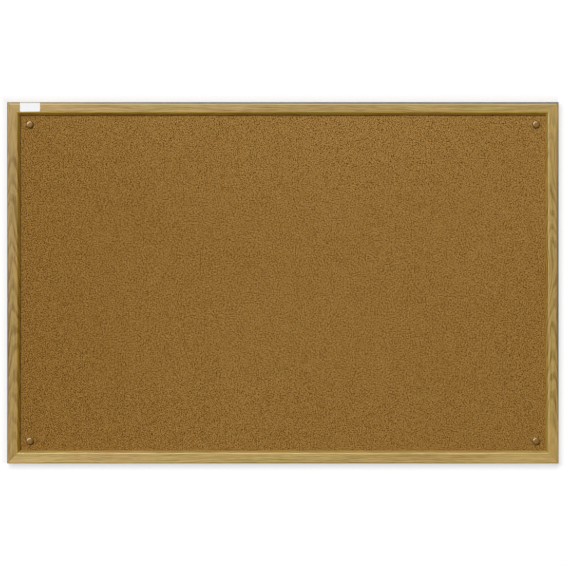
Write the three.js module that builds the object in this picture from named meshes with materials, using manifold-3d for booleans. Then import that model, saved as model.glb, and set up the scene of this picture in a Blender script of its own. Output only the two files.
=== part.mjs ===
// Framed cork notice board as it hangs on a wall, in millimetres.
// +X runs along its width, +Z is up and its front faces -Y.
// The origin is the middle of its back, in the plane of the wall.

import * as THREE from "three";
import { mergeVertices } from "three/addons/utils/BufferGeometryUtils.js";
import Module from "manifold-3d";

const wasm = await Module();
wasm.setup();

// Board
const boardWidth = 900;
const boardHeight = 590;
const frameDepth = 18;

// Moulding: widths run inwards from its outer edge, heights forwards from the wall
const railWidth = 21;
const rebateWidth = 6;
const faceWidth = 13.8;
const outerRound = 2;
const crestRadius = 3;
const noseHeight = 2.7;
const backArris = 0.6;

// Pinning panel, three sheets glued face to face
const corkThickness = 2;
const coreThickness = 6;
const backSheetThickness = 1.8;
const panelPlay = 0.5;

// Clearances
const seatGap = 0.3;
const glueLine = 0.3;
const cutOverrun = 1;
const weldDistance = 0.0001;

// V-nails, two across the back of each mitre
const nailsPerMitre = 2;
const nailInset = 4.2;
const nailPitch = 5.5;
const nailLeg = 5;
const nailStrip = 0.5;
const nailDepth = 7;
const nailSunk = 0.3;

// Wall fixings, one in each corner of the panel
const fixingInset = 36.5;
const flangeRadius = 4.8;
const flangeThickness = 1.2;
const flangeChamfer = 0.4;
const sleeveRadius = 3.4;
const sleeveLength = 6;
const boreRadius = 2.3;
const countersinkRadius = 4;

// Wall screws
const screwLength = 40;
const shankRadius = 2;
const pointLength = 6;
const headCrown = 0.5;
const headLand = 0.25;
const recessSpan = 3.8;
const recessWidth = 0.9;
const recessDepth = 1.6;

// Caps pushed over the cups
const capHeight = 3.8;
const capWall = 0.9;
const capFlatRadius = 1.2;
const capInnerRound = 0.3;
const capSlope = (27.5 * Math.PI) / 180;

// Facets
const arcSteps = 6;
const holeSteps = 12;
const fixingSegments = 24;
const capSegments = 32;

// Sizes that follow
const panelThickness = corkThickness + coreThickness + backSheetThickness;
const panelWidth = boardWidth - 2 * (railWidth - rebateWidth + panelPlay);
const panelHeight = boardHeight - 2 * (railWidth - rebateWidth + panelPlay);
const lipBack = panelThickness + seatGap;
const sleeveHoleRadius = sleeveRadius + seatGap;
const screwHoleRadius = boreRadius + seatGap;
const headRadius = countersinkRadius - seatGap * Math.SQRT2;
const capHollowRadius = flangeRadius + seatGap;
const capRadius = capHollowRadius + capWall;
const capOuterRound = capInnerRound + capWall;

// Finishes
const finishes = {
  oakFoil: { color: 0xa98a55, roughness: 0.5, metalness: 0 },
  cork: { color: 0x8c6731, roughness: 0.95, metalness: 0 },
  softboard: { color: 0x9a7b56, roughness: 0.95, metalness: 0 },
  hardboard: { color: 0x6b4a2e, roughness: 0.7, metalness: 0 },
  nailSteel: { color: 0x8d9096, roughness: 0.4, metalness: 1 },
  cupPlastic: { color: 0x6a4526, roughness: 0.45, metalness: 0 },
  zincSteel: { color: 0xb4b2a6, roughness: 0.3, metalness: 1 },
  capPlastic: { color: 0x876134, roughness: 0.35, metalness: 0 },
};

// Quarter turns about Y carry the top side and the top left corner round the board
const sides = [
  { name: "top_rail", turn: 0, length: boardWidth, reach: boardHeight / 2 },
  { name: "right_stile", turn: 1, length: boardHeight, reach: boardWidth / 2 },
  { name: "bottom_rail", turn: 2, length: boardWidth, reach: boardHeight / 2 },
  { name: "left_stile", turn: 3, length: boardHeight, reach: boardWidth / 2 },
];
const corners = [
  { name: "top_left", turn: 0, right: -1, up: 1 },
  { name: "top_right", turn: 1, right: 1, up: 1 },
  { name: "bottom_right", turn: 2, right: 1, up: -1 },
  { name: "bottom_left", turn: 3, right: -1, up: -1 },
];
const quarterTurn = Math.PI / 2;

function makeMesh(name, geometry, finish) {
  const mesh = new THREE.Mesh(geometry, new THREE.MeshStandardMaterial(finishes[finish]));
  mesh.name = name;
  return mesh;
}

// A closed geometry as a solid that can be cut
function toSolid(geometry) {
  const bare = geometry.clone();
  bare.deleteAttribute("normal");
  bare.deleteAttribute("uv");
  const merged = mergeVertices(bare, weldDistance);
  const corner = merged.index.array;
  const triangles = [];
  for (let i = 0; i < corner.length; i += 3) {
    const [a, b, c] = [corner[i], corner[i + 1], corner[i + 2]];
    if (a !== b && b !== c && c !== a) {
      triangles.push(a, b, c);
    }
  }
  return new wasm.Manifold(
    new wasm.Mesh({
      numProp: 3,
      vertProperties: new Float32Array(merged.getAttribute("position").array),
      triVerts: new Uint32Array(triangles),
    }),
  );
}

function toGeometry(solid) {
  const mesh = solid.getMesh();
  const geometry = new THREE.BufferGeometry();
  geometry.setAttribute("position", new THREE.BufferAttribute(new Float32Array(mesh.vertProperties), 3));
  geometry.setIndex(new THREE.BufferAttribute(new Uint32Array(mesh.triVerts), 1));
  geometry.computeVertexNormals();
  return geometry;
}

function extrude(shape, depth, steps) {
  return new THREE.ExtrudeGeometry(shape, { depth, bevelEnabled: false, curveSegments: steps });
}

// Section of the moulding, with X inwards from the outer edge and Y forwards from the wall.
// A flat face falls away over a round crest and a straight slope to a square nose above the cork.
function mouldingSection() {
  const rebateWall = railWidth - rebateWidth;
  const nose = new THREE.Vector2(railWidth, lipBack + noseHeight);
  const crest = new THREE.Vector2(outerRound + faceWidth, frameDepth - crestRadius);
  const noseAngle = Math.atan2(nose.y - crest.y, nose.x - crest.x);
  const slopeNormal = noseAngle + Math.acos(crestRadius / crest.distanceTo(nose));

  const section = new THREE.Shape();
  section.moveTo(backArris, 0);
  section.lineTo(rebateWall, 0);
  section.lineTo(rebateWall, lipBack);
  section.lineTo(railWidth, lipBack);
  section.lineTo(nose.x, nose.y);
  section.absarc(crest.x, crest.y, crestRadius, slopeNormal, quarterTurn, false);
  section.absarc(outerRound, frameDepth - outerRound, outerRound, quarterTurn, Math.PI, false);
  section.lineTo(0, backArris);
  section.closePath();
  return section;
}

// A length of moulding along X with its outer edge at Z = 0 and both ends mitred at 45 degrees
function mitredMoulding(length) {
  const geometry = extrude(mouldingSection(), 1, arcSteps);
  const position = geometry.getAttribute("position");
  for (let i = 0; i < position.count; i += 1) {
    const inwards = position.getX(i);
    const forwards = position.getY(i);
    const end = 1 - 2 * position.getZ(i);
    const reach = length / 2 - glueLine / Math.SQRT2 - inwards;
    position.setXYZ(i, end * reach, -forwards, -inwards);
  }
  geometry.computeVertexNormals();
  return geometry;
}

// Outline of a V-nail in the top left corner: its apex lies on the mitre, a leg along each moulding
function nailOutline(inset, clearance) {
  const near = inset - nailStrip / 2 - clearance;
  const far = inset + nailStrip / 2 + clearance;
  const tip = inset + nailLeg + clearance;
  const outline = new THREE.Shape();
  outline.moveTo(near, -near);
  outline.lineTo(tip, -near);
  outline.lineTo(tip, -far);
  outline.lineTo(far, -far);
  outline.lineTo(far, -tip);
  outline.lineTo(near, -tip);
  outline.closePath();
  return outline;
}

// The slot that a V-nail cuts for itself, from behind the board
function nailSlot(inset) {
  const depth = cutOverrun + nailSunk + nailDepth + seatGap;
  const geometry = extrude(nailOutline(inset, seatGap), depth, 1);
  geometry.rotateX(quarterTurn);
  geometry.translate(0, cutOverrun, 0);
  return geometry;
}

function makeRail(side) {
  let solid = toSolid(mitredMoulding(side.length));
  for (const end of [-1, 1]) {
    for (let i = 0; i < nailsPerMitre; i += 1) {
      const slot = nailSlot(nailInset + i * nailPitch);
      if (end > 0) {
        slot.rotateY(quarterTurn);
      }
      slot.translate((end * side.length) / 2, 0, 0);
      solid = solid.subtract(toSolid(slot));
    }
  }
  const rail = makeMesh(side.name, toGeometry(solid), "oakFoil");
  const place = new THREE.Group();
  place.rotation.y = side.turn * quarterTurn;
  place.position.set(0, 0, side.reach).applyAxisAngle(new THREE.Vector3(0, 1, 0), place.rotation.y);
  place.add(rail);
  return place;
}

function makeNails(corner) {
  const place = new THREE.Group();
  place.position.set((corner.right * boardWidth) / 2, 0, (corner.up * boardHeight) / 2);
  place.rotation.y = corner.turn * quarterTurn;
  for (let i = 0; i < nailsPerMitre; i += 1) {
    const geometry = extrude(nailOutline(nailInset + i * nailPitch, 0), nailDepth, 1);
    const nail = makeMesh(`v_nail_${corner.name}_${i + 1}`, geometry, "nailSteel");
    nail.rotation.x = quarterTurn;
    nail.position.y = -nailSunk;
    place.add(nail);
  }
  return place;
}

// One sheet of the panel, with its back the given distance in front of the wall
function makeSheet(name, thickness, backHeight, holeRadius, finish) {
  const outline = new THREE.Shape();
  outline.moveTo(-panelWidth / 2, -panelHeight / 2);
  outline.lineTo(panelWidth / 2, -panelHeight / 2);
  outline.lineTo(panelWidth / 2, panelHeight / 2);
  outline.lineTo(-panelWidth / 2, panelHeight / 2);
  outline.closePath();
  for (const corner of corners) {
    const hole = new THREE.Path();
    const across = corner.right * (boardWidth / 2 - fixingInset);
    const up = corner.up * (boardHeight / 2 - fixingInset);
    hole.absarc(across, up, holeRadius, 0, 2 * Math.PI, true);
    outline.holes.push(hole);
  }
  const sheet = makeMesh(name, extrude(outline, thickness, holeSteps), finish);
  sheet.rotation.x = quarterTurn;
  sheet.position.y = -backHeight;
  return sheet;
}

// Flanged cup on Y, with its flange resting at Y = 0 and a countersunk bore for the screw
function cupGeometry() {
  const boreTop = flangeThickness - (countersinkRadius - boreRadius);
  const profile = [
    new THREE.Vector2(boreRadius, -sleeveLength),
    new THREE.Vector2(sleeveRadius, -sleeveLength),
    new THREE.Vector2(sleeveRadius, 0),
    new THREE.Vector2(flangeRadius, 0),
    new THREE.Vector2(flangeRadius, flangeThickness - flangeChamfer),
    new THREE.Vector2(flangeRadius - flangeChamfer, flangeThickness),
    new THREE.Vector2(countersinkRadius, flangeThickness),
    new THREE.Vector2(boreRadius, boreTop),
    new THREE.Vector2(boreRadius, -sleeveLength),
  ];
  return new THREE.LatheGeometry(profile, fixingSegments);
}

// Countersunk wall screw on Y, with the rim of its head at Y = 0 and a cross recess
function screwGeometry() {
  const coneHeight = headRadius - shankRadius;
  const crown = new THREE.QuadraticBezierCurve(
    new THREE.Vector2(headRadius, 0),
    new THREE.Vector2(headRadius / 2, headCrown),
    new THREE.Vector2(0, headCrown),
  );
  const profile = [
    new THREE.Vector2(0, -screwLength),
    new THREE.Vector2(shankRadius, pointLength - screwLength),
    new THREE.Vector2(shankRadius, -headLand - coneHeight),
    new THREE.Vector2(headRadius, -headLand),
    ...crown.getPoints(arcSteps / 2),
  ];
  let solid = toSolid(new THREE.LatheGeometry(profile, fixingSegments));
  const recessHeight = cutOverrun + headCrown + recessDepth;
  for (const turn of [0, quarterTurn]) {
    const slot = new THREE.BoxGeometry(recessSpan, recessHeight, recessWidth);
    slot.rotateY(turn);
    slot.translate(0, cutOverrun + headCrown - recessHeight / 2, 0);
    solid = solid.subtract(toSolid(slot));
  }
  return toGeometry(solid);
}

// Hollow cap on Y, with its rim at Y = 0: a straight wall, a rounded edge and a crown that eases
// up to a small flat in the middle, with the same wall all over
function capGeometry() {
  const edge = new THREE.Vector2(capRadius - capOuterRound, 0);
  const crownRadius = capOuterRound + (edge.x - capFlatRadius) / Math.sin(capSlope);
  const crown = new THREE.Vector2(capFlatRadius, capHeight - crownRadius);
  edge.y = crown.y + (crownRadius - capOuterRound) * Math.cos(capSlope);
  const meeting = quarterTurn - capSlope;
  const shell = new THREE.Path();
  shell.moveTo(0, capHeight - capWall);
  shell.lineTo(crown.x, capHeight - capWall);
  shell.absarc(crown.x, crown.y, crownRadius - capWall, quarterTurn, meeting, true);
  shell.absarc(edge.x, edge.y, capInnerRound, meeting, 0, true);
  shell.lineTo(capHollowRadius, 0);
  shell.lineTo(capRadius, 0);
  shell.absarc(edge.x, edge.y, capOuterRound, 0, meeting, false);
  shell.absarc(crown.x, crown.y, crownRadius, meeting, quarterTurn, false);
  shell.lineTo(0, capHeight);
  return new THREE.LatheGeometry(shell.getPoints(arcSteps / 2), capSegments);
}

// Cup, screw and cap of one corner, with local +Y towards the front
function makeFixing(corner) {
  const place = new THREE.Group();
  place.position.x = corner.right * (boardWidth / 2 - fixingInset);
  place.position.y = -panelThickness - seatGap;
  place.position.z = corner.up * (boardHeight / 2 - fixingInset);
  place.rotation.x = Math.PI;
  const cup = makeMesh(`fixing_cup_${corner.name}`, cupGeometry(), "cupPlastic");
  const screw = makeMesh(`fixing_screw_${corner.name}`, screwGeometry(), "zincSteel");
  const cap = makeMesh(`screw_cap_${corner.name}`, capGeometry(), "capPlastic");
  screw.position.y = flangeThickness;
  place.add(cup, screw, cap);
  return place;
}

const group = new THREE.Group();
group.name = "cork_board";

for (const side of sides) {
  group.add(makeRail(side));
}

const coreBack = backSheetThickness;
const corkBack = backSheetThickness + coreThickness;
group.add(makeSheet("back_sheet", backSheetThickness, 0, screwHoleRadius, "hardboard"));
group.add(makeSheet("softboard_core", coreThickness, coreBack, sleeveHoleRadius, "softboard"));
group.add(makeSheet("cork_sheet", corkThickness, corkBack, sleeveHoleRadius, "cork"));

for (const corner of corners) {
  group.add(makeNails(corner));
  group.add(makeFixing(corner));
}

export default group;
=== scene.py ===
"""Framed cork notice board on a white wall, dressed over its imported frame.

Lengths are in metres. +X runs along the board's width, +Z is up and its front faces -Y.
"""

import math
import random
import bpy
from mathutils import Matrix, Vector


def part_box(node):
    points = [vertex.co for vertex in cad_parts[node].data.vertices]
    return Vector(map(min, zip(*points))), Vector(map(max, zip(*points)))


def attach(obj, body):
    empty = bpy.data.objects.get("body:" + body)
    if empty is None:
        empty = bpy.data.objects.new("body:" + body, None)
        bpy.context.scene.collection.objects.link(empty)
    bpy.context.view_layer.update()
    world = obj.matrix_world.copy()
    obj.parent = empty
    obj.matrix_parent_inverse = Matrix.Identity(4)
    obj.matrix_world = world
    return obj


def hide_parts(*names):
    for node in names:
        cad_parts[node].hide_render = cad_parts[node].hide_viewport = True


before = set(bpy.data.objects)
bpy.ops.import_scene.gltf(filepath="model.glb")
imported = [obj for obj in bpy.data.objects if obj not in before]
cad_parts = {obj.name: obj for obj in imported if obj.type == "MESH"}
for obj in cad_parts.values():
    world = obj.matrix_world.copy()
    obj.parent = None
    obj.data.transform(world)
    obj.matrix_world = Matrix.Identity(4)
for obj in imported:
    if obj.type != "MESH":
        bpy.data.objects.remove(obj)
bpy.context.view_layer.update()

from types import SimpleNamespace

import bmesh
import bpy
from mathutils import Quaternion, Vector

MM = 0.001
CORNERS = ("top_left", "top_right", "bottom_right", "bottom_left")

# Places read from the frame
FRAME_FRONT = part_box("top_rail")[0].y
BOARD_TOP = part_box("top_rail")[1].z
BOARD_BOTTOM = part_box("bottom_rail")[0].z
BOARD_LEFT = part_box("left_stile")[0].x
BOARD_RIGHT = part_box("right_stile")[1].x
RAIL_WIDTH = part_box("top_rail")[1].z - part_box("top_rail")[0].z
PANEL_LOW, PANEL_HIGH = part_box("back_sheet")

# The moulding's outer round, its flat face and its crest
OUTER_ROUND = 2.0 * MM
FACE_WIDTH = 13.8 * MM
CREST_RADIUS = 3.0 * MM

# Wall screws: the head's crown and land, the radii of thread and root, the point's length, and the
# thread's start and pitch
SCREW = SimpleNamespace(
    crown=0.5 * MM, land=0.25 * MM, outer=2.0 * MM, root=1.45 * MM, point=6.0 * MM,
    thread_start=-11.0 * MM, pitch=1.8 * MM,
)

# Oak foil: how far its rings wander and how strong its lines and pores are
RING_PACE = 3.0
RING_WAVER = 1.6
FINE_RINGS_PER_RING = 3.0
BROAD_RING_STRENGTH = 0.78
FINE_LINE_STRENGTH = 0.34
PORE_STRENGTH = 0.3
OAK_TONE = 0.42
OAK_TONE_DROP = 0.27
SEED_STEP = 3.7

# Oak foil: tints, painted shade for the slopes down to the cork, and painted highlights beside the arris and
# on the crest
PINK_TINT = (1.05, 0.955, 1.12)
OLIVE_TINT = (0.955, 1.045, 0.85)
# Painted shade for the slope down to the cork: the deeper one for the top and left rails, which face away
# from the lamp, the lighter one for the bottom and right
SHADED_TINT = (1.05, 0.98, 0.46)
LIT_TINT = (0.91, 0.89, 0.72)
# Painted highlight: a pale band beside the outer arris, and how far in it reaches
WORN_EDGE = (0.70, 0.56, 0.22)
WORN_REACH = 8 * MM
# Painted highlight on the crest
CREST_GOLD = (0.63, 0.46, 0.11)
ARRIS_GREY = (0.105, 0.102, 0.110)
RAGGED = 0.5 * MM

# Cork: grains and chips per metre, and its browns from dark to light
GRAINS_PER_METRE = 580.0
CHIPS_PER_METRE = 1300.0
CORK_TONE = 0.449
GRAIN_MIDDLE = 0.438
# Constant part of the cork's painted light
CORK_LIFT = 0.008
CORK_BROWNS = [
    (0.00, (0.082, 0.024, 0.0002)),
    (0.12, (0.117, 0.043, 0.0005)),
    (0.28, (0.174, 0.0755, 0.0038)),
    (0.48, (0.268, 0.1335, 0.0180)),
    (0.68, (0.381, 0.213, 0.0550)),
    (0.84, (0.491, 0.292, 0.1010)),
    (1.00, (0.617, 0.387, 0.1570)),
]

# Backdrop and sky
BACKDROP_GLOW = 0.64
BACKDROP_PAINT = 0.42
# Reach of the painted soft shadow on the backdrop above and left of the board
CONTACT_REACH = 16 * MM
OUT_OF_REACH = 1e3
SKY_LIGHT = 0.05
SKY_GLOSS = 0.15


# Node helpers

def add_node(tree, kind, inputs=None, **settings):
    """Adds a node. An input's value is a constant or another node's output."""
    made = tree.nodes.new(kind)
    for name, value in settings.items():
        setattr(made, name, value)
    for name, value in (inputs or {}).items():
        if isinstance(value, bpy.types.NodeSocket):
            tree.links.new(value, made.inputs[name])
        else:
            made.inputs[name].default_value = value
    return made


def calculate(tree, operation, first, second=0.0, third=0.0):
    """One Math node on numbers or sockets."""
    made = tree.nodes.new("ShaderNodeMath")
    made.operation = operation
    for place, value in enumerate((first, second, third)):
        if isinstance(value, bpy.types.NodeSocket):
            tree.links.new(value, made.inputs[place])
        else:
            made.inputs[place].default_value = value
    return made.outputs[0]


def add_share(tree, total, value, strength, offset):
    """The total plus strength times the value, less the offset that keeps the middle tone."""
    return calculate(tree, "MULTIPLY_ADD", value, strength, calculate(tree, "ADD", total, -offset))


def mix_colour(tree, share, first, second, blend="MIX"):
    """Mixes two colours, each a constant or a socket."""
    made = tree.nodes.new("ShaderNodeMix")
    made.data_type = "RGBA"
    made.blend_type = blend
    for place, value in ((0, share), (6, first), (7, second)):
        if isinstance(value, bpy.types.NodeSocket):
            tree.links.new(value, made.inputs[place])
        elif place:
            made.inputs[place].default_value = (*value, 1.0)
        else:
            made.inputs[place].default_value = value
    return made.outputs[2]


def ramp(tree, value, stops):
    """A colour ramp with (position, colour) stops; a colour is a grey number or three numbers."""
    made = tree.nodes.new("ShaderNodeValToRGB")
    elements = made.color_ramp.elements
    while len(elements) < len(stops):
        elements.new(0.5)
    for element, (position, colour) in zip(elements, stops):
        element.position = position
        rgb = colour if isinstance(colour, tuple) else (colour, colour, colour)
        element.color = (*rgb, 1.0)
    tree.links.new(value, made.inputs[0])
    return made.outputs[0]


def board_coordinates(tree, turned=False, shift=(0.0, 0.0, 0.0)):
    """The board's own coordinates in metres. Turned, X runs up the board instead of across it."""
    place = add_node(tree, "ShaderNodeTexCoord").outputs["Object"]
    turn = (0.0, math.pi / 2, 0.0) if turned else (0.0, 0.0, 0.0)
    inputs = {"Vector": place, "Rotation": turn, "Location": shift}
    return add_node(tree, "ShaderNodeMapping", inputs).outputs[0]


def stretched(tree, vector, scale):
    """The vector scaled by three numbers."""
    return add_node(tree, "ShaderNodeMapping", {"Vector": vector, "Scale": scale}).outputs[0]


def noise(tree, vector, scale, detail=2.0, roughness=0.5):
    """Soft noise from 0 to 1 on the vector."""
    inputs = {"Vector": vector, "Scale": scale, "Detail": detail, "Roughness": roughness}
    return add_node(tree, "ShaderNodeTexNoise", inputs).outputs[0]


def new_material(name):
    """An empty Principled material: the material, its tree and its shader."""
    material = bpy.data.materials.new(name)
    material.use_nodes = True
    tree = material.node_tree
    return material, tree, tree.nodes["Principled BSDF"]


def bump(tree, shader, height, distance, strength=1.0):
    """Feeds a height to the shader as relief of the given distance."""
    inputs = {"Height": height, "Distance": distance, "Strength": strength}
    made = add_node(tree, "ShaderNodeBump", inputs)
    tree.links.new(made.outputs[0], shader.inputs["Normal"])


# Materials

def oak_figure(tree, rail, grain, along, off_centre):
    """Late wood, 0 to 1: arched or straight rings that wander, with a finer set of lines between them."""
    squared = calculate(tree, "MULTIPLY", off_centre, off_centre)
    rings = calculate(tree, "MULTIPLY_ADD", squared, rail.arch_count / (RAIL_WIDTH / 2) ** 2,
                      calculate(tree, "MULTIPLY", along, 1 / rail.arch_pitch))
    rings = calculate(tree, "MULTIPLY_ADD", off_centre, 1 / rail.line_pitch, rings)
    pace = noise(tree, stretched(tree, grain, (11.0, 0.0, 0.0)), 1.0, 1.0)
    rings = calculate(tree, "MULTIPLY_ADD", pace, RING_PACE, rings)
    waver = noise(tree, stretched(tree, grain, (14.0, 110.0, 110.0)), 1.0, 3.0, 0.6)
    rings = calculate(tree, "MULTIPLY_ADD", waver, RING_WAVER, rings)
    ring = calculate(tree, "FRACT", rings)
    broad_rings = ramp(tree, ring, [
        (0.0, 1.0),
        (0.14, 0.7),
        (0.36, 0.22),
        (0.62, 0.0),
        (0.86, 0.12),
        (1.0, 1.0),
    ])
    finer = calculate(tree, "MULTIPLY", rings, FINE_RINGS_PER_RING)
    fine_ring = calculate(tree, "FRACT", calculate(tree, "MULTIPLY_ADD", waver, RING_WAVER / 2, finer))
    fine_lines = ramp(tree, fine_ring, [(0.0, 1.0), (0.30, 0.35), (0.60, 0.0), (0.85, 0.2), (1.0, 1.0)])
    late_wood = calculate(tree, "MULTIPLY", broad_rings, BROAD_RING_STRENGTH)
    late_wood = calculate(tree, "MULTIPLY_ADD", fine_lines, FINE_LINE_STRENGTH, late_wood)
    patches = noise(tree, stretched(tree, grain, (7.0, 55.0, 55.0)), 1.0, 2.0)
    return calculate(tree, "MULTIPLY", late_wood, ramp(tree, patches, [(0.30, 0.35), (0.64, 1.0)]))


def calm_corners(tree, rail, late_wood, along_board):
    """Weakens the figure towards the rail's two ends."""
    half_length = BOARD_TOP if rail.turned else BOARD_RIGHT
    to_corner = calculate(tree, "MULTIPLY", calculate(tree, "ABSOLUTE", along_board), 1 / half_length)
    return calculate(tree, "MULTIPLY", late_wood, ramp(tree, to_corner, [(0.66, 1.0), (0.90, 0.45)]))


def oak_fibres(tree, along, depth, off_centre):
    """Long and short fibres that follow the grain."""
    drift = add_node(tree, "ShaderNodeCombineXYZ", {"X": along, "Y": depth, "Z": off_centre}).outputs[0]
    long_fibres = noise(tree, stretched(tree, drift, (7.0, 640.0, 640.0)), 1.0, 2.0, 0.6)
    short_fibres = noise(tree, stretched(tree, drift, (50.0, 700.0, 700.0)), 1.0, 2.0, 0.6)
    return calculate(tree, "MULTIPLY_ADD", short_fibres, 0.4, calculate(tree, "MULTIPLY", long_fibres, 0.6))


def oak_tone(tree, rail, late_wood, fibres, mottle):
    """How dark the wood is, 0 to 1, from its figure, fibres and soft mottle."""
    tone = calculate(tree, "MULTIPLY_ADD", late_wood, rail.figure, OAK_TONE - OAK_TONE_DROP * rail.figure)
    tone = add_share(tree, tone, fibres, rail.fibre, 0.5 * rail.fibre)
    return add_share(tree, tone, mottle, rail.blotch, 0.5 * rail.blotch)


def oak_colour(tree, rail, grain, tone, pores):
    """The foil's print: light to dark wood, dark pores, and streaks that lean to pink and to olive."""
    colour = mix_colour(tree, ramp(tree, tone, [(0.0, 0.0), (1.0, 1.0)]), rail.light, rail.dark)
    colour = mix_colour(tree, calculate(tree, "MULTIPLY", pores, PORE_STRENGTH), colour, deepened(rail.dark))
    streaks = noise(tree, stretched(tree, grain, (9.0, 260.0, 260.0)), 1.0, 1.0)
    tint = mix_colour(tree, ramp(tree, streaks, [(0.32, 0.0), (0.68, 1.0)]), PINK_TINT, OLIVE_TINT)
    return mix_colour(tree, rail.tinge, colour, tint, "MULTIPLY")


def deepened(colour):
    """The darkest tone of a wood."""
    return tuple(0.6 * part for part in colour)


def worn_edges(tree, rail, colour, from_edge, ragged_edge):
    """Paints shade on the slope down to the cork and a pale highlight beside the outer arris."""
    inward = calculate(tree, "MULTIPLY", from_edge, 1 / RAIL_WIDTH)
    # Painted shade on the slope down to the cork
    slope = ramp(tree, inward, [(0.66, 0.0), (0.78, 1.0)])
    colour = mix_colour(tree, slope, colour, rail.inner_tint, "MULTIPLY")
    # Painted highlight beside the outer arris
    worn = ramp(tree, calculate(tree, "MULTIPLY", ragged_edge, 1 / WORN_REACH),
                [(0.30, 0.0), (0.40, 1.0), (0.52, 1.0), (0.66, 0.0)])
    return mix_colour(tree, calculate(tree, "MULTIPLY", worn, rail.edge_wear), colour, WORN_EDGE)


def arris_line(tree, rail, colour, ragged_edge, along_board, in_front):
    """Draws the grey line on the outer arris where the rail has it, and darkens and dulls the arris
    elsewhere.

    Gives back the colour and how dull the arris is.
    """
    deep = deepened(rail.dark)
    in_line = calculate(tree, "MULTIPLY", ragged_edge, 1 / (2 * rail.line_width))
    from_middle = calculate(tree, "ABSOLUTE", calculate(tree, "SUBTRACT", along_board, rail.line_middle))
    to_end = calculate(tree, "MULTIPLY", from_middle, 1 / rail.line_end)
    lined = ramp(tree, to_end, [(rail.line_full / rail.line_end, 1.0), (1.0, 0.0)])
    shaded = calculate(tree, "MULTIPLY", ramp(tree, in_line, [(0.84, 1.0), (1.08, 0.0)]), rail.edge_shade)
    shaded = calculate(tree, "MULTIPLY", shaded, lined)
    colour = mix_colour(tree, calculate(tree, "MULTIPLY", shaded, in_front), colour, deep)
    arris = calculate(tree, "MULTIPLY", ramp(tree, in_line, [(0.40, 1.0), (0.60, 0.0)]), in_front)
    colour = mix_colour(tree, calculate(tree, "MULTIPLY", arris, lined), colour, ARRIS_GREY)
    dulled = calculate(tree, "MULTIPLY", arris, calculate(tree, "SUBTRACT", 1.0, lined))
    colour = mix_colour(tree, calculate(tree, "MULTIPLY", dulled, rail.edge_soil), colour, deep)
    return colour, dulled


def rub_crest(tree, rail, colour, from_edge):
    """Paints a gold highlight on the crest."""
    fade = 0.05
    crest = ramp(tree, calculate(tree, "MULTIPLY", from_edge, 1 / RAIL_WIDTH), [
        (rail.crest_start, 0.0),
        (rail.crest_start + fade, 1.0),
        (rail.crest_end - fade, 1.0),
        (rail.crest_end, 0.0),
    ])
    return mix_colour(tree, calculate(tree, "MULTIPLY", crest, rail.crest_wear), colour, CREST_GOLD)


def bare_back(tree, colour, across, depth, mottle):
    """Leaves raw fibreboard between the foil's ragged edges on the back.

    Gives back the colour and where the board is raw.
    """
    fibreboard = noise(tree, board_coordinates(tree), 1400.0, 3.0, 0.7)
    raw = mix_colour(tree, fibreboard, (0.30, 0.20, 0.11), (0.44, 0.32, 0.20))
    from_side = calculate(tree, "SUBTRACT", RAIL_WIDTH / 2, calculate(tree, "ABSOLUTE", across))
    foil_turn = calculate(tree, "MULTIPLY_ADD", mottle, RAGGED, 3.4 * MM)
    is_back = calculate(tree, "GREATER_THAN", depth, -0.05 * MM)
    unwrapped = calculate(tree, "MULTIPLY", is_back, calculate(tree, "GREATER_THAN", from_side, foil_turn))
    return mix_colour(tree, unwrapped, colour, raw), unwrapped


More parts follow.
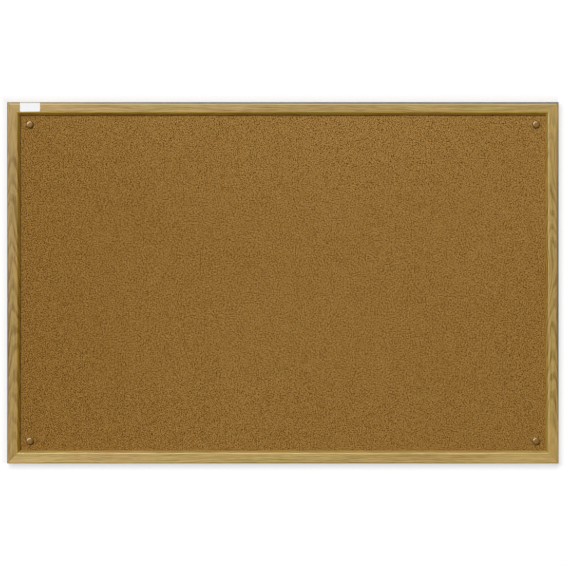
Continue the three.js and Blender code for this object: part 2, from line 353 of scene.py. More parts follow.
def oak_foil(name, rail):
    """Oak-look foil wrapped round one rail, with raw fibreboard in the middle of its back.

    Places along the rail are in metres on the board, and pitches and widths are in metres. rail holds:
    turned, middle, outward: whether it is a stile, its middle line, and the sign towards its outer edge
    seed: which stretch of grain it gets
    light, dark, inner_tint: its wood, and the painted shade that deepens it on the slope down to the cork
    arch_pitch, arch_count: the grain's arches along the rail, and how many it crosses from middle to edge
    line_pitch, sway, figure: its straight lines across the rail, how far its arches sway, and its strength
    fibre, blotch, tinge: the strength of the fine fibres, the soft mottle, and the pink and olive streaks
    line_width: the width of the grey line on the outer arris
    line_middle, line_full, line_end: the line's strongest place, and how far from there it is full and ends
    edge_shade, edge_soil, edge_wear: how dark the edge is inside the line and past its ends, and how strong
    the painted highlight beside the arris is
    crest_start, crest_end, crest_wear: where the crest gets its painted highlight, in shares of the rail's
    width, and how strong it is
    """
    material, tree, shader = new_material(name)
    sideways = rail.middle if rail.turned else -rail.middle
    grain = board_coordinates(tree, rail.turned, (rail.seed * SEED_STEP, 0.0, sideways))
    split = add_node(tree, "ShaderNodeSeparateXYZ", {"Vector": grain})
    along, across = split.outputs["X"], split.outputs["Z"]
    board = add_node(tree, "ShaderNodeSeparateXYZ", {"Vector": board_coordinates(tree)})
    along_board = board.outputs["Z" if rail.turned else "X"]
    depth = board.outputs["Y"]

    wander = noise(tree, stretched(tree, grain, (4.0, 0.0, 0.0)), 1.0, 2.0)
    sway = calculate(tree, "MULTIPLY_ADD", wander, rail.sway, -rail.sway / 2)
    off_centre = calculate(tree, "ADD", across, sway)
    late_wood = oak_figure(tree, rail, grain, along, off_centre)
    late_wood = calm_corners(tree, rail, late_wood, along_board)
    fibres = oak_fibres(tree, along, split.outputs["Y"], off_centre)
    mottle = noise(tree, stretched(tree, grain, (26.0, 150.0, 150.0)), 1.0, 2.0)
    pore_field = noise(tree, stretched(tree, grain, (60.0, 2200.0, 2200.0)), 1.0, 1.0)
    pores = ramp(tree, pore_field, [(0.30, 1.0), (0.40, 0.0)])
    tone = oak_tone(tree, rail, late_wood, fibres, mottle)
    colour = oak_colour(tree, rail, grain, tone, pores)

    from_edge = calculate(tree, "MULTIPLY_ADD", across, -rail.outward, RAIL_WIDTH / 2)
    from_front = calculate(tree, "SUBTRACT", depth, FRAME_FRONT)
    in_front = calculate(tree, "LESS_THAN", from_front, 2.2 * MM)
    ragged_edge = calculate(tree, "MULTIPLY_ADD", mottle, RAGGED, from_edge)
    colour = worn_edges(tree, rail, colour, from_edge, ragged_edge)
    colour, dulled = arris_line(tree, rail, colour, ragged_edge, along_board, in_front)
    colour = rub_crest(tree, rail, colour, from_edge)
    colour, unwrapped = bare_back(tree, colour, across, depth, mottle)
    tree.links.new(colour, shader.inputs["Base Color"])

    foil_rough = calculate(tree, "MULTIPLY_ADD", unwrapped, 0.4, 0.40)
    tree.links.new(calculate(tree, "MULTIPLY_ADD", fibres, 0.16, foil_rough), shader.inputs["Roughness"])
    shader.inputs["Specular IOR Level"].default_value = 0.2
    matt = ramp(tree, tone, [(0.42, 1.0), (0.95, 0.5)])
    coat = calculate(tree, "MULTIPLY", calculate(tree, "MULTIPLY_ADD", dulled, -0.8, 1.0), matt)
    tree.links.new(coat, shader.inputs["Coat Weight"])
    shader.inputs["Coat Roughness"].default_value = 0.29
    shader.inputs["Coat IOR"].default_value = 1.65
    relief = calculate(tree, "SUBTRACT", calculate(tree, "MULTIPLY", fibres, 0.35), pores)
    bump(tree, shader, relief, 0.05 * MM)
    return material


def cork(name):
    """Agglomerated cork: fine grains with dark seams over pressed chips of many browns, with soft clouds and
    painted light that pales it towards its top and middle.
    """
    material, tree, shader = new_material(name)
    place = board_coordinates(tree)
    split = add_node(tree, "ShaderNodeSeparateXYZ", {"Vector": place})
    across, up = split.outputs["X"], split.outputs["Z"]
    flat = add_node(tree, "ShaderNodeCombineXYZ", {"X": across, "Y": up}).outputs[0]
    grain_inputs = {"Vector": flat, "Scale": GRAINS_PER_METRE, "Randomness": 1.0}
    grains = add_node(tree, "ShaderNodeTexVoronoi", grain_inputs, voronoi_dimensions="2D").outputs["Distance"]
    chip_inputs = {"Vector": place, "Scale": CHIPS_PER_METRE, "Randomness": 1.0}
    chips = add_node(tree, "ShaderNodeTexVoronoi", chip_inputs)
    chip = add_node(tree, "ShaderNodeSeparateColor", {"Color": chips.outputs["Color"]}).outputs[0]
    chip = ramp(tree, chip, [(0.0, 0.0), (0.09, 0.36), (1.0, 0.66)])
    from_seam = calculate(tree, "SUBTRACT", 1.0, chips.outputs["Distance"])
    clouds = noise(tree, place, 2.5, 3.0, 0.55)
    shade = calculate(tree, "MULTIPLY_ADD", grains, -1.0, CORK_TONE + GRAIN_MIDDLE)
    shade = add_share(tree, shade, chip, 1.12, 0.555)
    shade = add_share(tree, shade, from_seam, 0.10, 0.05)
    shade = add_share(tree, shade, clouds, 0.10, 0.05)
    # Painted light, paler towards the top and the middle
    shade = calculate(tree, "ADD", shade, cork_fade(tree, across, up))
    shade = calculate(tree, "ADD", shade, CORK_LIFT)
    tree.links.new(ramp(tree, shade, CORK_BROWNS), shader.inputs["Base Color"])
    shader.inputs["Roughness"].default_value = 0.9
    shader.inputs["Specular IOR Level"].default_value = 0.2

    grit = noise(tree, place, 3600.0, 2.0, 0.6)
    relief = calculate(tree, "MULTIPLY_ADD", from_seam, 0.8, calculate(tree, "MULTIPLY", grit, 0.4))
    bump(tree, shader, relief, 0.08 * MM, 0.7)
    return material


def cork_fade(tree, across, up):
    """Painted light: how much the cork pales towards its top and its middle, by the place in metres."""
    fade_across = calculate(tree, "MULTIPLY", across, calculate(tree, "MULTIPLY_ADD", across, -0.19, 0.055))
    fade_up = calculate(tree, "MULTIPLY", up, calculate(tree, "MULTIPLY_ADD", up, 0.17, 0.11))
    return calculate(tree, "ADD", fade_across, fade_up)


def brown_plastic(name, colour, roughness):
    """Injection-moulded plastic with a faint orange-peel surface, and painted shade on its steep flanks."""
    material, tree, shader = new_material(name)
    place = board_coordinates(tree)
    cloud = noise(tree, place, 260.0, 3.0)
    lighter = tuple(1.12 * c for c in colour)
    darker = tuple(0.9 * c for c in colour)
    facing = add_node(tree, "ShaderNodeTexCoord").outputs["Normal"]
    facing = add_node(tree, "ShaderNodeSeparateXYZ", {"Vector": facing})
    forward = calculate(tree, "ABSOLUTE", facing.outputs["Y"])
    # Painted shade on the steep flanks
    flank = ramp(tree, forward, [(0.80, 1.0), (0.985, 0.0)])
    colour = mix_colour(tree, cloud, darker, lighter)
    soiled = tuple(0.35 * c for c in darker)
    tree.links.new(mix_colour(tree, flank, colour, soiled), shader.inputs["Base Color"])
    peel = noise(tree, place, 2600.0, 2.0)
    worn = calculate(tree, "MULTIPLY_ADD", peel, 0.10, roughness - 0.05)
    tree.links.new(worn, shader.inputs["Roughness"])
    shader.inputs["Specular IOR Level"].default_value = 1.0
    shader.inputs["Specular Tint"].default_value = (1.0, 0.86, 0.62, 1.0)
    bump(tree, shader, peel, 0.02 * MM)
    return material


def steel(name, colour, roughness, streak):
    """Plain steel with fine drawn streaks. streak is how fine they are along each axis, per metre."""
    material, tree, shader = new_material(name)
    place = board_coordinates(tree)
    streaks = noise(tree, stretched(tree, place, streak), 1.0, 3.0)
    lighter = tuple(min(1.0, 1.15 * c) for c in colour)
    darker = tuple(0.8 * c for c in colour)
    tree.links.new(mix_colour(tree, streaks, darker, lighter), shader.inputs["Base Color"])
    rough = calculate(tree, "MULTIPLY_ADD", streaks, 0.2, roughness - 0.1)
    tree.links.new(rough, shader.inputs["Roughness"])
    shader.inputs["Metallic"].default_value = 1.0
    bump(tree, shader, streaks, 0.02 * MM)
    return material


def hardboard(name):
    """The rough side of hardboard: brown pressed fibre with the print of the press's wire screen."""
    material, tree, shader = new_material(name)
    place = board_coordinates(tree)
    split = add_node(tree, "ShaderNodeSeparateXYZ", {"Vector": place})
    pitch = 1.7 * MM
    wave_x = calculate(tree, "SINE", calculate(tree, "MULTIPLY", split.outputs["X"], 2 * math.pi / pitch))
    wave_z = calculate(tree, "SINE", calculate(tree, "MULTIPLY", split.outputs["Z"], 2 * math.pi / pitch))
    screen = calculate(tree, "MULTIPLY_ADD", calculate(tree, "MULTIPLY", wave_x, wave_z), 0.5, 0.5)
    fibre = noise(tree, stretched(tree, place, (500.0, 500.0, 900.0)), 1.0, 4.0, 0.65)
    cloud = noise(tree, place, 5.0, 4.0, 0.6)
    tone = calculate(tree, "MULTIPLY_ADD", fibre, 0.6, calculate(tree, "MULTIPLY", cloud, 0.5))
    colour = mix_colour(tree, tone, (0.115, 0.058, 0.026), (0.30, 0.17, 0.085))
    colour = mix_colour(tree, calculate(tree, "MULTIPLY", screen, 0.22), colour, (0.36, 0.22, 0.12))
    tree.links.new(colour, shader.inputs["Base Color"])
    shader.inputs["Roughness"].default_value = 0.85
    bump(tree, shader, calculate(tree, "MULTIPLY_ADD", fibre, 0.6, screen), 0.12 * MM)
    return material


def softboard(name):
    """Loose wood fibre of the panel's core."""
    material, tree, shader = new_material(name)
    place = board_coordinates(tree)
    fibre = noise(tree, stretched(tree, place, (900.0, 400.0, 900.0)), 1.0, 5.0, 0.7)
    colour = ramp(tree, fibre, [(0.3, (0.22, 0.14, 0.07)), (0.7, (0.46, 0.34, 0.20))])
    tree.links.new(colour, shader.inputs["Base Color"])
    shader.inputs["Roughness"].default_value = 0.95
    bump(tree, shader, fibre, 0.4 * MM)
    return material


def label_film(name):
    """Bare white label film with a faint paper tooth, and painted shade along the fold over the rail's outer
    corner.
    """
    material, tree, shader = new_material(name)
    place = board_coordinates(tree)
    tooth = noise(tree, place, 1800.0, 2.0)
    colour = mix_colour(tree, tooth, (0.86, 0.86, 0.86), (0.93, 0.93, 0.93))
    split = add_node(tree, "ShaderNodeSeparateXYZ", {"Vector": place})
    from_top = calculate(tree, "SUBTRACT", BOARD_TOP, split.outputs["Z"])
    # Painted shade where the label turns over the rounded corner
    soil_reach = 3.0 * MM
    down = calculate(tree, "MULTIPLY", from_top, 1 / soil_reach)
    fold = ramp(tree, down, [(0.38, 1.0), (0.48, 0.5), (0.95, 0.0)])
    tree.links.new(mix_colour(tree, fold, colour, (0.40, 0.36, 0.31)), shader.inputs["Base Color"])
    shader.inputs["Roughness"].default_value = 0.4
    bump(tree, shader, tooth, 0.01 * MM)
    return material


def dress(node, material):
    """Gives a CAD node its material."""
    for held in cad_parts[node].material_slots:
        held.material = material


# Mesh helpers

def finish_mesh(name, work, material):
    """A bmesh as an object with smooth faces and sharp edges."""
    sharp_angle = math.radians(35)
    bmesh.ops.recalc_face_normals(work, faces=work.faces)
    mesh = bpy.data.meshes.new(name)
    work.to_mesh(mesh)
    work.free()
    for face in mesh.polygons:
        face.use_smooth = True
    mesh.set_sharp_from_angle(angle=sharp_angle)
    mesh.materials.append(material)
    made = bpy.data.objects.new(name, mesh)
    bpy.context.scene.collection.objects.link(made)
    return made


def add_rings(work, profile, segments, centre, closed):
    """Turns a profile of (radius, forward) points about the line through centre along Y."""
    rings = []
    for radius, forward in profile:
        if radius == 0:
            tip = work.verts.new((centre.x, centre.y - forward, centre.z))
            rings.append([tip] * segments)
            continue
        ring = []
        for step in range(segments):
            angle = 2 * math.pi * step / segments
            across = radius * math.cos(angle)
            up = radius * math.sin(angle)
            ring.append(work.verts.new((centre.x + across, centre.y - forward, centre.z + up)))
        rings.append(ring)
    pairs = list(zip(rings, rings[1:]))
    if closed:
        pairs.append((rings[-1], rings[0]))
    for low, high in pairs:
        for step in range(segments):
            after = (step + 1) % segments
            corners = [low[step], low[after], high[after], high[step]]
            unique = list(dict.fromkeys(corners))
            if len(unique) > 2:
                work.faces.new(unique)


def arc(centre, radius, start, end, steps):
    """Points of an arc in degrees, both ends included."""
    angles = [math.radians(start + (end - start) * step / steps) for step in range(steps + 1)]
    return [(centre[0] + radius * math.cos(angle), centre[1] + radius * math.sin(angle)) for angle in angles]


def middle_of(node):
    """The middle of a node's box."""
    low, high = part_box(node)
    return (low + high) / 2


# Wall fixings

def make_cap(corner, material):
    """Push-on cap: a hollow shell with a straight wall, a rounded edge and a crown up to a small flat."""
    node = f"screw_cap_{corner}"
    low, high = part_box(node)
    middle = middle_of(node)
    radius = (high.x - low.x) / 2
    height = high.y - low.y
    wall = 0.9 * MM
    flat = 2.4 * MM
    inner_round = 0.3 * MM
    slope = 22.0
    lip = 0.12 * MM
    outer_round = inner_round + wall
    edge_reach = radius - outer_round
    crown_radius = outer_round + (edge_reach - flat) / math.sin(math.radians(slope))
    crown = (flat, height - crown_radius)
    edge = (edge_reach, crown[1] + (crown_radius - outer_round) * math.cos(math.radians(slope)))
    meeting = 90 - slope
    profile = [(0.0, height - wall)]
    profile += arc(crown, crown_radius - wall, 90, meeting, 8)
    profile += arc(edge, inner_round, meeting, 0, 6)[1:]
    profile += [(radius - wall, lip), (radius - wall + lip, 0.0), (radius - lip, 0.0), (radius, lip)]
    profile += arc(edge, outer_round, 0, meeting, 10)
    profile += arc(crown, crown_radius, meeting, 90, 12)[1:]
    profile += [(0.0, height)]
    work = bmesh.new()
    add_rings(work, profile, 96, Vector((middle.x, high.y, middle.z)), False)
    cap = finish_mesh(f"cap_shell_{corner}", work, material)
    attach(cap, f"cap_{corner}")
    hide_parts(node)


def make_cup(corner, material):
    """Flanged cup with a countersunk bore, on the same sizes as its CAD node."""
    node = f"fixing_cup_{corner}"
    low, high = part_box(node)
    middle = middle_of(node)
    flange = (high.x - low.x) / 2
    flange_height = 1.2 * MM
    sleeve_length = high.y - low.y - flange_height
    sleeve = 3.4 * MM
    bore = 2.3 * MM
    countersink = 4.0 * MM
    round_edge = 0.4 * MM
    lead_in = 0.3 * MM
    burr = 0.1 * MM
    profile = [(bore, -sleeve_length), (sleeve - lead_in, -sleeve_length), (sleeve, lead_in - sleeve_length)]
    profile += [(sleeve, 0.0), (flange - burr, 0.0), (flange, burr)]
    profile += arc((flange - round_edge, flange_height - round_edge), round_edge, 0, 90, 6)
    profile += [(countersink, flange_height), (bore, flange_height - (countersink - bore))]
    work = bmesh.new()
    add_rings(work, profile, 72, Vector((middle.x, high.y - sleeve_length, middle.z)), True)
    cup = finish_mesh(f"cup_{corner}", work, material)
    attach(cup, "board")
    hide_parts(node)


def screw_body(name, rim, head, length, material):
    """Pointed root, plain neck, and a raised countersunk head, turned about the line through rim."""
    tip_steps = 6
    crown_steps = 8
    neck = 0.97 * SCREW.outer
    neck_cone = 1.2 * MM
    profile = [(0.0, -length)]
    for step in range(1, tip_steps + 1):
        share = step / tip_steps
        profile.append((SCREW.root * math.sqrt(share) * 0.999, SCREW.point * share - length))
    profile += [(SCREW.root, SCREW.thread_start - neck_cone), (neck, SCREW.thread_start)]
    profile += [(neck, -SCREW.land - (head - SCREW.outer)), (head, -SCREW.land)]
    profile += [(head - 0.05 * MM, 0.0)]
    for step in range(crown_steps - 1, -1, -1):
        share = step / crown_steps
        profile.append((head * share, SCREW.crown * (1 - share**2)))
    work = bmesh.new()
    add_rings(work, profile, 48, rim, False)
    body = finish_mesh(name, work, material)
    cut_recess(body, rim, SCREW.crown)
    return body


def screw_thread(name, rim, length, material):
    """A three-sided ridge wound round the root, which runs out at the neck and narrows to the point."""
    steps_per_turn = 24
    tip_gap = 0.8 * MM
    half_foot = 0.45
    turns = (length - tip_gap + SCREW.thread_start) / SCREW.pitch
    work = bmesh.new()
    sections = []
    for step in range(int(turns * steps_per_turn) + 1):
        angle = 2 * math.pi * step / steps_per_turn
        forward = SCREW.thread_start - SCREW.pitch * step / steps_per_turn
        from_tip = (length + forward) / SCREW.point
        core = SCREW.root * min(1.0, math.sqrt(max(0.0, from_tip)))
        height = (SCREW.outer - SCREW.root) * min(1.0, step / steps_per_turn, from_tip + 0.25)
        foot = core - 0.1 * MM
        section = []
        for radius, slide in ((foot, half_foot), (core + height, 0.0), (foot, -half_foot)):
            reach = max(radius, 0.05 * MM)
            across = reach * math.cos(angle)
            up = reach * math.sin(angle)
            section.append(work.verts.new((rim.x + across, rim.y - forward + slide * MM, rim.z + up)))
        sections.append(section)
    for before, after in zip(sections, sections[1:]):
        for side in range(3):
            following = (side + 1) % 3
            work.faces.new([before[side], before[following], after[following], after[side]])
    work.faces.new(sections[0])
    work.faces.new(list(reversed(sections[-1])))
    return finish_mesh(name, work, material)


def make_screw(corner, material):
    """Wall screw: a turned body with a cross recess in its head, and a helical thread to the point."""
    node = f"fixing_screw_{corner}"
    low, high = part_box(node)
    middle = middle_of(node)
    head = (high.x - low.x) / 2
    length = high.y - low.y - SCREW.crown
    rim = Vector((middle.x, low.y + SCREW.crown, middle.z))
    screw = screw_body(f"screw_{corner}", rim, head, length, material)
    thread = screw_thread(f"screw_thread_{corner}", rim, length, material)
    for piece in (screw, thread):
        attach(piece, "board")
        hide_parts(node)


def cut_recess(screw, rim, crown):
    """Cuts a tapered cross recess into the screw's head and applies the cut."""
    depth = 1.7 * MM
    span = 3.8 * MM
    width = 0.85 * MM
    floor_share = 0.55
    work = bmesh.new()
    for turned in (False, True):
        corners = []
        for forward, share in ((crown + depth, 1.6), (crown - depth, floor_share)):
            for across, up in ((-1, -1), (1, -1), (1, 1), (-1, 1)):
                reach = (across * span / 2 * share, up * width / 2)
                if turned:
                    reach = (reach[1], reach[0])
                corners.append(work.verts.new((rim.x + reach[0], rim.y - forward, rim.z + reach[1])))
        work.faces.new(corners[:4])
        work.faces.new(corners[4:])
        for side in range(4):
            after = (side + 1) % 4
            work.faces.new([corners[side], corners[after], corners[after + 4], corners[side + 4]])
    cutter = finish_mesh("recess_cutter", work, screw.data.materials[0])
    cut = screw.modifiers.new("recess", "BOOLEAN")
    cut.object = cutter
    cut.operation = "DIFFERENCE"
    cut.solver = "EXACT"
    cut.use_self = True
    bpy.context.view_layer.update()
    seen = screw.evaluated_get(bpy.context.evaluated_depsgraph_get())
    shaped = bpy.data.meshes.new_from_object(seen)
    screw.modifiers.clear()
    screw.data = shaped
    bpy.data.objects.remove(cutter)


# Back of the panel

def staple_joints(picker):
    """Staples round the back sheet: the place along an edge, its level, and whether each is upright."""
    spacing = 145.0 * MM
    slip = 8
    joints = []
    width = PANEL_HIGH.x - PANEL_LOW.x
    height = PANEL_HIGH.z - PANEL_LOW.z
    for count, reach, level, upright in (
        (int(width / spacing), width, PANEL_HIGH.z, True),
        (int(width / spacing), width, PANEL_LOW.z, True),
        (int(height / spacing), height, PANEL_HIGH.x, False),
        (int(height / spacing), height, PANEL_LOW.x, False),
    ):
        for step in range(count):
            along = reach * ((step + 0.5) / count - 0.5) + picker.uniform(-slip, slip) * MM
            joints.append((along, level, upright))
    return joints


def staple_path(place, direction, wire):
    """The middle of a staple's wire, from the tip of one leg over its crown to the tip of the other."""
    crown = 11.0 * MM
    leg = 2.0 * MM
    bend = 0.9 * MM
    rise = 0.6 * wire
    points = []
    for side, order in ((-1, (0, 1, 2)), (1, (2, 1, 0))):
        shape = (
            (side * crown / 2, -leg),
            (side * crown / 2, rise - bend),
            (side * (crown / 2 - bend), rise),
        )
        for pick in order:
            reach, out = shape[pick]
            points.append(place + direction * reach + Vector((0, out, 0)))
    return points


def make_staples(material):
    """Wire staples across the joint between the frame and the back sheet, none quite straight."""
    wire = 0.45 * MM
    lean = 14
    picker = random.Random(7)
    for number, (along, level, upright) in enumerate(staple_joints(picker)):
        turn = math.radians((90 if upright else 0) + picker.uniform(-lean, lean))
        place = Vector((along, 0, level)) if upright else Vector((level, 0, along))
        points = staple_path(place, Vector((math.cos(turn), 0, math.sin(turn))), wire)
        curve = bpy.data.curves.new(f"panel_staple_{number + 1}", "CURVE")
        curve.dimensions = "3D"
        curve.bevel_depth = wire
        curve.bevel_resolution = 3
        curve.use_fill_caps = True
        spline = curve.splines.new("POLY")
        spline.points.add(len(points) - 1)
        for target, point in zip(spline.points, points):
            target.co = (*point, 1.0)
        curve.materials.append(material)
        staple = bpy.data.objects.new(curve.name, curve)
        bpy.context.scene.collection.objects.link(staple)
        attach(staple, "board")


# Bare label on the top rail

def make_label(material):
    """A blank white label round the rail's outer corner and down its flat face."""
    left = BOARD_LEFT + 21.0 * MM
    width = 32.6 * MM
    lift = 0.05 * MM
    corner = 1.6 * MM
    path = arc((BOARD_TOP - OUTER_ROUND, FRAME_FRONT + OUTER_ROUND), OUTER_ROUND + lift, 0, -90, 9)
    rows = 12
    start = path[-1][0]
    end = BOARD_TOP - OUTER_ROUND - FACE_WIDTH
    path += [(start + (end - start) * step / rows, FRAME_FRONT - lift) for step in range(1, rows + 1)]
    work = bmesh.new()
    lines = []
    for level, depth in path:
        above = level - path[-1][0]
        inset = corner - math.sqrt(max(0.0, corner**2 - max(0.0, corner - above) ** 2))
        near = work.verts.new((left + inset, depth, level))
        far = work.verts.new((left + width - inset, depth, level))
        lines.append((near, far))
    for upper, lower in zip(lines, lines[1:]):
        work.faces.new([upper[0], upper[1], lower[1], lower[0]])
    label = finish_mesh("blank_label", work, material)
    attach(label, "board")


# Filler in the mitres

def filler(name):
    """Coloured wax that closes the glue line of a mitre."""
    material, tree, shader = new_material(name)
    cloud = noise(tree, board_coordinates(tree), 300.0, 2.0)
    wax = mix_colour(tree, cloud, (0.34, 0.22, 0.045), (0.42, 0.28, 0.07))
    tree.links.new(wax, shader.inputs["Base Color"])
    shader.inputs["Roughness"].default_value = 0.45
    shader.inputs["Coat Weight"].default_value = 1.0
    shader.inputs["Coat Roughness"].default_value = 0.3
    return material


def make_filler(corner, material):
    """A thin wax slab in the front of a mitre's glue line, just below the surface of the moulding."""
    nose_drop = 5.2 * MM
    reach = 7.5 * MM
    sunk = 0.06 * MM
    thick = 0.28 * MM
    outline = [(sunk, reach)]
    outline += arc((OUTER_ROUND, OUTER_ROUND), OUTER_ROUND - sunk, 180, 270, 6)
    outline += arc((OUTER_ROUND + FACE_WIDTH, CREST_RADIUS), CREST_RADIUS - sunk, 270, 325, 6)
    outline += [(RAIL_WIDTH - sunk, nose_drop + sunk), (RAIL_WIDTH - sunk, reach)]
    left = corner.endswith("left")
    top = corner.startswith("top")
    across = Vector((1 if left else -1, 0, -1 if top else 1))
    start = Vector((BOARD_LEFT if left else BOARD_RIGHT, FRAME_FRONT, BOARD_TOP if top else BOARD_BOTTOM))
    aside = Vector((across.z, 0, -across.x)).normalized() * thick / 2
    work = bmesh.new()
    sides = []
    for shift in (aside, -aside):
        side = []
        for inward, depth in outline:
            side.append(work.verts.new(start + across * inward + Vector((0, depth, 0)) + shift))
        sides.append(side)
    for place in range(len(outline)):
        after = (place + 1) % len(outline)
        work.faces.new([sides[0][place], sides[0][after], sides[1][after], sides[1][place]])
    work.faces.new(sides[0])
    work.faces.new(list(reversed(sides[1])))
    piece = finish_mesh(f"mitre_filler_{corner}", work, material)
    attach(piece, "board")


# Backdrop, light and camera

def backdrop(name, bounce):
    """White in the picture, with the object's soft shadow from the lamp on it and a painted soft shadow above
    and left of the board. bounce is the light that it gives back.
    """
    material, tree, shader = new_material(name)
    path = add_node(tree, "ShaderNodeLightPath")
    seen = calculate(tree, "MAXIMUM", path.outputs["Is Camera Ray"], path.outputs["Is Transmission Ray"])
    paint = mix_colour(tree, seen, (bounce,) * 3, (BACKDROP_PAINT,) * 3)
    tree.links.new(paint, shader.inputs["Base Color"])
    split = add_node(tree, "ShaderNodeSeparateXYZ", {"Vector": board_coordinates(tree)})
    above = calculate(tree, "SUBTRACT", split.outputs["Z"], BOARD_TOP)
    beside = calculate(tree, "SUBTRACT", BOARD_LEFT, split.outputs["X"])
    beyond = calculate(tree, "SUBTRACT", split.outputs["X"], BOARD_RIGHT)
    below = calculate(tree, "SUBTRACT", BOARD_BOTTOM, split.outputs["Z"])
    away = calculate(tree, "MAXIMUM", above, beside)
    other_sides = calculate(tree, "MAXIMUM", beyond, below)
    away = calculate(tree, "MAXIMUM", away, calculate(tree, "MULTIPLY", other_sides, OUT_OF_REACH))
    # Painted soft shadow above and left of the board; beyond the right and bottom edges it is pushed out of
    # reach
    contact = ramp(tree, calculate(tree, "MULTIPLY", away, 1 / CONTACT_REACH),
                   [(0.0, 0.29), (0.26, 0.25), (0.47, 0.165), (0.67, 0.115), (1.0, 0.0)])
    glow = calculate(tree, "MULTIPLY_ADD", contact, -BACKDROP_GLOW, BACKDROP_GLOW)
    tree.links.new(calculate(tree, "MULTIPLY", seen, glow), shader.inputs["Emission Strength"])
    shader.inputs["Emission Color"].default_value = (1.0, 1.0, 1.0, 1.0)
    shader.inputs["Roughness"].default_value = 1.0
    shader.inputs["Specular IOR Level"].default_value = 0.0
    return material


def make_stage():
    """White wall behind the board, open where the board hangs, and a white floor well below it."""
    tuck = 1.5 * MM
    gap = 0.02 * MM
    wide = 2.2
    above = 1.8
    floor_level = BOARD_BOTTOM - 1.0
    outer = ((-wide, floor_level), (wide, floor_level), (wide, above), (-wide, above))
    inner = (
        (BOARD_LEFT + tuck, BOARD_BOTTOM + tuck),
        (BOARD_RIGHT - tuck, BOARD_BOTTOM + tuck),
        (BOARD_RIGHT - tuck, BOARD_TOP - tuck),
        (BOARD_LEFT + tuck, BOARD_TOP - tuck),
    )
    work = bmesh.new()
    around = [work.verts.new((x, gap, z)) for x, z in outer]
    opening = [work.verts.new((x, gap, z)) for x, z in inner]
    for side in range(4):
        after = (side + 1) % 4
        work.faces.new([around[side], around[after], opening[after], opening[side]])
    wall = finish_mesh("wall", work, backdrop("wall_white", 0.7))

    work = bmesh.new()
    reach = 4.0
    places = ((-reach, -reach), (reach, -reach), (reach, reach), (-reach, reach))
    work.faces.new([work.verts.new((x, y, floor_level)) for x, y in places])
    floor = finish_mesh("floor", work, backdrop("floor_white", 0.15))


def add_area_light(name, place, width, height, tilt, power):
    """A rectangular lamp facing the board's middle, turned by tilt degrees about its own axis."""
    light = bpy.data.lights.new(name, "AREA")
    light.shape = "RECTANGLE"
    light.size = width
    light.size_y = height
    light.energy = power
    lamp = bpy.data.objects.new(name, light)
    lamp.location = place
    lamp.rotation_mode = "QUATERNION"
    facing = (Vector((0, 0, 0)) - Vector(place)).to_track_quat("-Z", "Y")
    lamp.rotation_quaternion = facing @ Quaternion((0, 0, 1), math.radians(tilt))
    bpy.context.scene.collection.objects.link(lamp)


def make_world():
    """Even sky for soft light. The camera sees it white, and reflections see it dimmer."""
    world = bpy.data.worlds.new("studio")
    world.use_nodes = True
    tree = world.node_tree
    background = tree.nodes["Background"]
    background.inputs["Color"].default_value = (1.0, 1.0, 1.0, 1.0)
    path = add_node(tree, "ShaderNodeLightPath")
    seen = calculate(tree, "MAXIMUM", path.outputs["Is Camera Ray"], path.outputs["Is Transmission Ray"])
    strength = calculate(tree, "MULTIPLY_ADD", seen, 1.0 - SKY_LIGHT, SKY_LIGHT)
    gloss = calculate(tree, "MULTIPLY", path.outputs["Is Glossy Ray"], SKY_GLOSS)
    strength = calculate(tree, "MAXIMUM", strength, gloss)
    tree.links.new(strength, background.inputs["Strength"])
    bpy.context.scene.world = world


def make_camera():
    """Square on to the board from far off, where the photograph's scale holds on the frame's front."""
    lens = 250.0
    sensor = 36.0
    picture_width = 0.9235
    outline_centre = (0.16 * MM, -0.4 * MM)
    camera = bpy.data.cameras.new("camera")
    camera.lens = lens
    camera.sensor_width = sensor
    camera.clip_end = 50.0
    eye = bpy.data.objects.new("camera", camera)
    eye.location = (outline_centre[0], FRAME_FRONT - picture_width * lens / sensor, outline_centre[1])
    eye.rotation_euler = (math.pi / 2, 0.0, 0.0)
    bpy.context.scene.collection.objects.link(eye)
    bpy.context.scene.camera = eye


# Rails, with their wood, their grain, their painted shade and their painted highlights

half_rail = RAIL_WIDTH / 2
top_oak = SimpleNamespace(
    turned=False, middle=BOARD_TOP - half_rail, outward=1.0, seed=1,
    light=(0.574, 0.386, 0.114), dark=(0.212, 0.115, 0.008), inner_tint=SHADED_TINT,
    arch_pitch=0.5, arch_count=0.3, line_pitch=3.4 * MM, sway=24 * MM, figure=0.5,
    fibre=2.3, blotch=0.25, tinge=1.0,
    line_width=3.2 * MM, line_middle=0.45, line_full=0.60, line_end=1.05,
    edge_shade=0.0, edge_soil=0.0, edge_wear=0.8,
    crest_start=0.65, crest_end=0.90, crest_wear=0.0,
)
bottom_oak = SimpleNamespace(
    turned=False, middle=BOARD_BOTTOM + half_rail, outward=-1.0, seed=2,
    light=(0.605, 0.412, 0.126), dark=(0.229, 0.125, 0.009), inner_tint=LIT_TINT,
    arch_pitch=0.3, arch_count=0.3, line_pitch=3.0 * MM, sway=24 * MM, figure=0.5,
    fibre=2.5, blotch=0.2, tinge=0.7,
    line_width=0.1 * MM, line_middle=0.0, line_full=1.0, line_end=2.0,
    edge_shade=0.0, edge_soil=0.0, edge_wear=0.28,
    crest_start=0.65, crest_end=0.90, crest_wear=0.16,
)
left_oak = SimpleNamespace(
    turned=True, middle=BOARD_LEFT + half_rail, outward=1.0, seed=5,
    light=(0.452, 0.283, 0.058), dark=(0.200, 0.106, 0.005), inner_tint=SHADED_TINT,
    arch_pitch=0.036, arch_count=1.1, line_pitch=0.2, sway=36 * MM, figure=1.12,
    fibre=1.9, blotch=0.5, tinge=0.15,
    line_width=1.5 * MM, line_middle=-0.09, line_full=0.09, line_end=0.22,
    edge_shade=0.7, edge_soil=0.85, edge_wear=0.0,
    crest_start=0.65, crest_end=0.90, crest_wear=0.0,
)
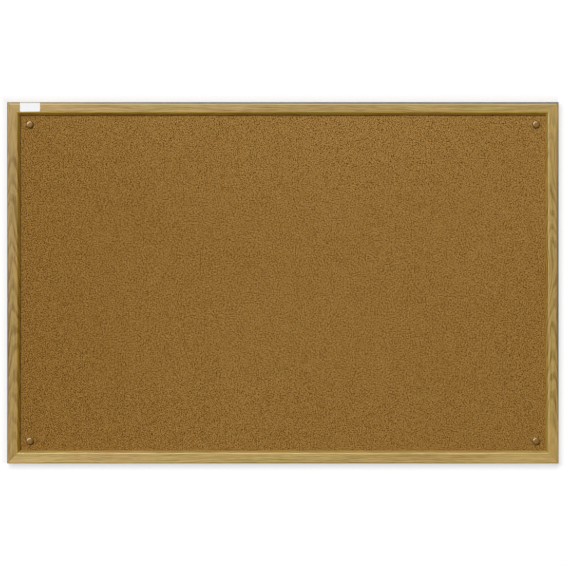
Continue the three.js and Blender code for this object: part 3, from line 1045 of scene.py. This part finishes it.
right_oak = SimpleNamespace(
    turned=True, middle=BOARD_RIGHT - half_rail, outward=-1.0, seed=7,
    light=(0.487, 0.318, 0.078), dark=(0.215, 0.116, 0.005), inner_tint=LIT_TINT,
    arch_pitch=0.038, arch_count=1.4, line_pitch=0.2, sway=44 * MM, figure=1.18,
    fibre=1.9, blotch=0.5, tinge=0.3,
    line_width=2.2 * MM, line_middle=0.02, line_full=0.10, line_end=0.26,
    edge_shade=0.5, edge_soil=0.0, edge_wear=0.0,
    crest_start=0.66, crest_end=0.78, crest_wear=0.40,
)

# Materials on the CAD nodes

dress("top_rail", oak_foil("oak_top", top_oak))
dress("bottom_rail", oak_foil("oak_bottom", bottom_oak))
dress("left_stile", oak_foil("oak_left", left_oak))
dress("right_stile", oak_foil("oak_right", right_oak))
dress("cork_sheet", cork("cork"))
dress("softboard_core", softboard("softboard"))
dress("back_sheet", hardboard("hardboard"))
nail_steel = steel("nail_steel", (0.42, 0.42, 0.44), 0.45, (400.0, 2500.0, 400.0))
for corner in CORNERS:
    for number in (1, 2):
        dress(f"v_nail_{corner}_{number}", nail_steel)

# Pieces

cap_plastic = brown_plastic("cap_plastic", (0.230, 0.110, 0.018), 0.29)
cup_plastic = brown_plastic("cup_plastic", (0.150, 0.072, 0.024), 0.5)
zinc_steel = steel("zinc_steel", (0.66, 0.65, 0.60), 0.32, (1500.0, 300.0, 1500.0))
staple_wire = steel("staple_wire", (0.55, 0.55, 0.56), 0.35, (900.0, 900.0, 900.0))
for corner in CORNERS:
    make_cap(corner, cap_plastic)
    make_cup(corner, cup_plastic)
    make_screw(corner, zinc_steel)
mitre_filler = filler("mitre_filler")
for corner in CORNERS:
    make_filler(corner, mitre_filler)
make_staples(staple_wire)
make_label(label_film("label_film"))

# Stage

make_stage()
make_world()
add_area_light("key", (-6.0, -21.3, 9.5), width=23.0, height=7.6, tilt=45.0, power=6700.0)
add_area_light("back_fill", (1.2, 2.6, 1.2), width=1.6, height=1.6, tilt=0.0, power=85.0)
make_camera()
bpy.context.scene.view_settings.view_transform = "Standard"
